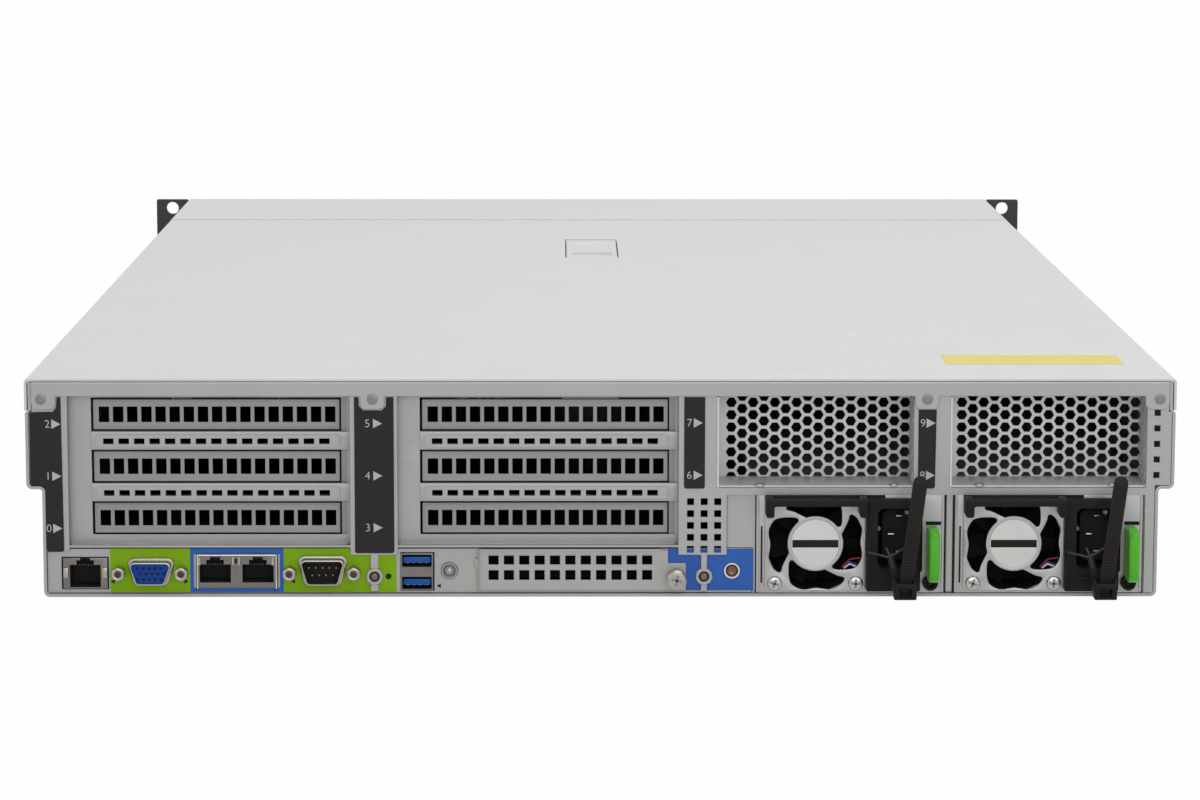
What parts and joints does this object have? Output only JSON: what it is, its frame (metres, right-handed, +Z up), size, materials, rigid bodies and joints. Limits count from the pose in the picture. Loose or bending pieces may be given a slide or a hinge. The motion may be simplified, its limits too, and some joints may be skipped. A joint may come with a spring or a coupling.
{
  "type": "rack server",
  "caption": "Flat two-unit rack server with a rear panel of slot covers, honeycomb vents, ports and hot-swap power supplies, and drive carriers in front.",
  "frame": {"origin": "middle of the underside, between the rear plane and the front plane of the chassis", "axes": "+Z up, +Y from the rear panel to the drive bays in front, +X to the right when the rear panel is looked at"},
  "size_m": [0.4828, 0.7378, 0.086],
  "materials": {
    "sheet": "satin zinc-plated sheet",
    "black_plastic": "matt",
    "ear_plastic": "matt",
    "green_plastic": "satin",
    "board": "satin",
    "fins": "satin",
    "nickel": "bright plated",
    "carrier": "satin",
    "lever": "matt"
  },
  "bodies": {
    "chassis": {"chassis_tray": "sheet", "front_cover": "sheet", "rear_panel": "sheet", "rear_beam": "sheet", "riser_cages": "sheet", "slot_covers": "sheet", "vent_frames": "sheet", "label_strips": "black_plastic", "io_plate": "sheet", "port_shells": "nickel", "serial_shell": "nickel", "port_inserts": "black_plastic", "mezzanine_cover": "nickel", "rear_screws": "nickel", "psu_cage": "sheet", "motherboard": "board", "heatsinks": "fins", "air_duct": "black_plastic", "fan_frames": "black_plastic", "drive_cage": "sheet", "drive_backplane": "board", "rack_ears": "ear_plastic", "rail_studs": "nickel"},
    "cover": {"top_cover": "sheet"},
    "latch": {"cover_latch": "black_plastic"},
    "psu_a": {"psu_a_case": "sheet", "psu_a_handle": "black_plastic", "psu_a_inlet": "black_plastic", "psu_a_strap": "black_plastic"},
    "psu_a_fan": {"psu_a_rotor": "black_plastic"},
    "psu_a_catch": {"psu_a_release": "green_plastic"},
    "psu_b": {"psu_b_case": "sheet", "psu_b_handle": "black_plastic", "psu_b_inlet": "black_plastic", "psu_b_strap": "black_plastic"},
    "psu_b_fan": {"psu_b_rotor": "black_plastic"},
    "psu_b_catch": {"psu_b_release": "green_plastic"},
    "fan_one": {"fan_rotor_one": "black_plastic"},
    "fan_two": {"fan_rotor_two": "black_plastic"},
    "fan_three": {"fan_rotor_three": "black_plastic"},
    "fan_four": {"fan_rotor_four": "black_plastic"},
    "drive_1": {"drive_carrier_1": "carrier"},
    "lever_1": {"carrier_lever_1": "lever"},
    "drive_2": {"drive_carrier_2": "carrier"},
    "lever_2": {"carrier_lever_2": "lever"},
    "drive_3": {"drive_carrier_3": "carrier"},
    "lever_3": {"carrier_lever_3": "lever"},
    "drive_4": {"drive_carrier_4": "carrier"},
    "lever_4": {"carrier_lever_4": "lever"},
    "drive_5": {"drive_carrier_5": "carrier"},
    "lever_5": {"carrier_lever_5": "lever"},
    "drive_6": {"drive_carrier_6": "carrier"},
    "lever_6": {"carrier_lever_6": "lever"},
    "drive_7": {"drive_carrier_7": "carrier"},
    "lever_7": {"carrier_lever_7": "lever"},
    "drive_8": {"drive_carrier_8": "carrier"},
    "lever_8": {"carrier_lever_8": "lever"},
    "uid_button_cap": {"uid_button": "black_plastic"},
    "power_button_cap": {"power_button": "black_plastic"},
    "front_button_cap": {"front_button": "black_plastic"}
  },
  "joints": [
    {"name": "cover_slide", "type": "slide", "parent": "chassis", "child": "cover", "axis": [0, -1, 0], "range_m": [0, 0.014]},
    {"name": "latch_turn", "type": "hinge", "parent": "cover", "child": "latch", "pos_m": [0, 0.1426, 0.0829], "axis": [-1, 0, 0], "range_deg": [0, 80]},
    {"name": "psu_a_slide", "type": "slide", "parent": "chassis", "child": "psu_a", "axis": [0, -1, 0], "range_m": [0, 0.27]},
    {"name": "psu_a_spin", "type": "hinge", "parent": "psu_a", "child": "psu_a_fan", "pos_m": [0.08365, -0.34, 0.0212], "axis": [0, 1, 0], "continuous": true},
    {"name": "psu_a_press", "type": "slide", "parent": "psu_a", "child": "psu_a_catch", "axis": [-1, 0, 0], "range_m": [0, 0.002], "stiffness_N_per_m": 600},
    {"name": "psu_b_slide", "type": "slide", "parent": "chassis", "child": "psu_b", "axis": [0, -1, 0], "range_m": [0, 0.27]},
    {"name": "psu_b_spin", "type": "hinge", "parent": "psu_b", "child": "psu_b_fan", "pos_m": [0.16115, -0.34, 0.0212], "axis": [0, 1, 0], "continuous": true},
    {"name": "psu_b_press", "type": "slide", "parent": "psu_b", "child": "psu_b_catch", "axis": [-1, 0, 0], "range_m": [0, 0.002], "stiffness_N_per_m": 600},
    {"name": "fan_one_spin", "type": "hinge", "parent": "chassis", "child": "fan_one", "pos_m": [-0.1635, 0.146, 0.0413], "axis": [0, 1, 0], "continuous": true},
    {"name": "fan_two_spin", "type": "hinge", "parent": "chassis", "child": "fan_two", "pos_m": [-0.0545, 0.146, 0.0413], "axis": [0, 1, 0], "continuous": true},
    {"name": "fan_three_spin", "type": "hinge", "parent": "chassis", "child": "fan_three", "pos_m": [0.0545, 0.146, 0.0413], "axis": [0, 1, 0], "continuous": true},
    {"name": "fan_four_spin", "type": "hinge", "parent": "chassis", "child": "fan_four", "pos_m": [0.1635, 0.146, 0.0413], "axis": [0, 1, 0], "continuous": true},
    {"name": "drive_1_slide", "type": "slide", "parent": "chassis", "child": "drive_1", "axis": [0, 1, 0], "range_m": [0, 0.115]},
    {"name": "lever_1_turn", "type": "hinge", "parent": "drive_1", "child": "lever_1", "pos_m": [0.0767, 0.3474, 0.013], "axis": [-1, 0, 0], "range_deg": [0, 65]},
    {"name": "drive_2_slide", "type": "slide", "parent": "chassis", "child": "drive_2", "axis": [0, 1, 0], "range_m": [0, 0.115]},
    {"name": "lever_2_turn", "type": "hinge", "parent": "drive_2", "child": "lever_2", "pos_m": [0.0945, 0.3474, 0.013], "axis": [-1, 0, 0], "range_deg": [0, 65]},
    {"name": "drive_3_slide", "type": "slide", "parent": "chassis", "child": "drive_3", "axis": [0, 1, 0], "range_m": [0, 0.115]},
    {"name": "lever_3_turn", "type": "hinge", "parent": "drive_3", "child": "lever_3", "pos_m": [0.1123, 0.3474, 0.013], "axis": [-1, 0, 0], "range_deg": [0, 65]},
    {"name": "drive_4_slide", "type": "slide", "parent": "chassis", "child": "drive_4", "axis": [0, 1, 0], "range_m": [0, 0.115]},
    {"name": "lever_4_turn", "type": "hinge", "parent": "drive_4", "child": "lever_4", "pos_m": [0.1301, 0.3474, 0.013], "axis": [-1, 0, 0], "range_deg": [0, 65]},
    {"name": "drive_5_slide", "type": "slide", "parent": "chassis", "child": "drive_5", "axis": [0, 1, 0], "range_m": [0, 0.115]},
    {"name": "lever_5_turn", "type": "hinge", "parent": "drive_5", "child": "lever_5", "pos_m": [0.1479, 0.3474, 0.013], "axis": [-1, 0, 0], "range_deg": [0, 65]},
    {"name": "drive_6_slide", "type": "slide", "parent": "chassis", "child": "drive_6", "axis": [0, 1, 0], "range_m": [0, 0.115]},
    {"name": "lever_6_turn", "type": "hinge", "parent": "drive_6", "child": "lever_6", "pos_m": [0.1657, 0.3474, 0.013], "axis": [-1, 0, 0], "range_deg": [0, 65]},
    {"name": "drive_7_slide", "type": "slide", "parent": "chassis", "child": "drive_7", "axis": [0, 1, 0], "range_m": [0, 0.115]},
    {"name": "lever_7_turn", "type": "hinge", "parent": "drive_7", "child": "lever_7", "pos_m": [0.1835, 0.3474, 0.013], "axis": [-1, 0, 0], "range_deg": [0, 65]},
    {"name": "drive_8_slide", "type": "slide", "parent": "chassis", "child": "drive_8", "axis": [0, 1, 0], "range_m": [0, 0.115]},
    {"name": "lever_8_turn", "type": "hinge", "parent": "drive_8", "child": "lever_8", "pos_m": [0.2013, 0.3474, 0.013], "axis": [-1, 0, 0], "range_deg": [0, 65]},
    {"name": "uid_button_press", "type": "slide", "parent": "chassis", "child": "uid_button_cap", "axis": [0, 1, 0], "range_m": [0, 0.001], "stiffness_N_per_m": 500},
    {"name": "power_button_press", "type": "slide", "parent": "chassis", "child": "power_button_cap", "axis": [0, 1, 0], "range_m": [0, 0.001], "stiffness_N_per_m": 500},
    {"name": "front_button_press", "type": "slide", "parent": "chassis", "child": "front_button_cap", "axis": [0, -1, 0], "range_m": [0, 0.0015], "stiffness_N_per_m": 500}
  ],
  "couplings": [
    {"joint": "latch_turn", "follows": "cover_slide", "rad_per_m": 99.723}
  ]
}
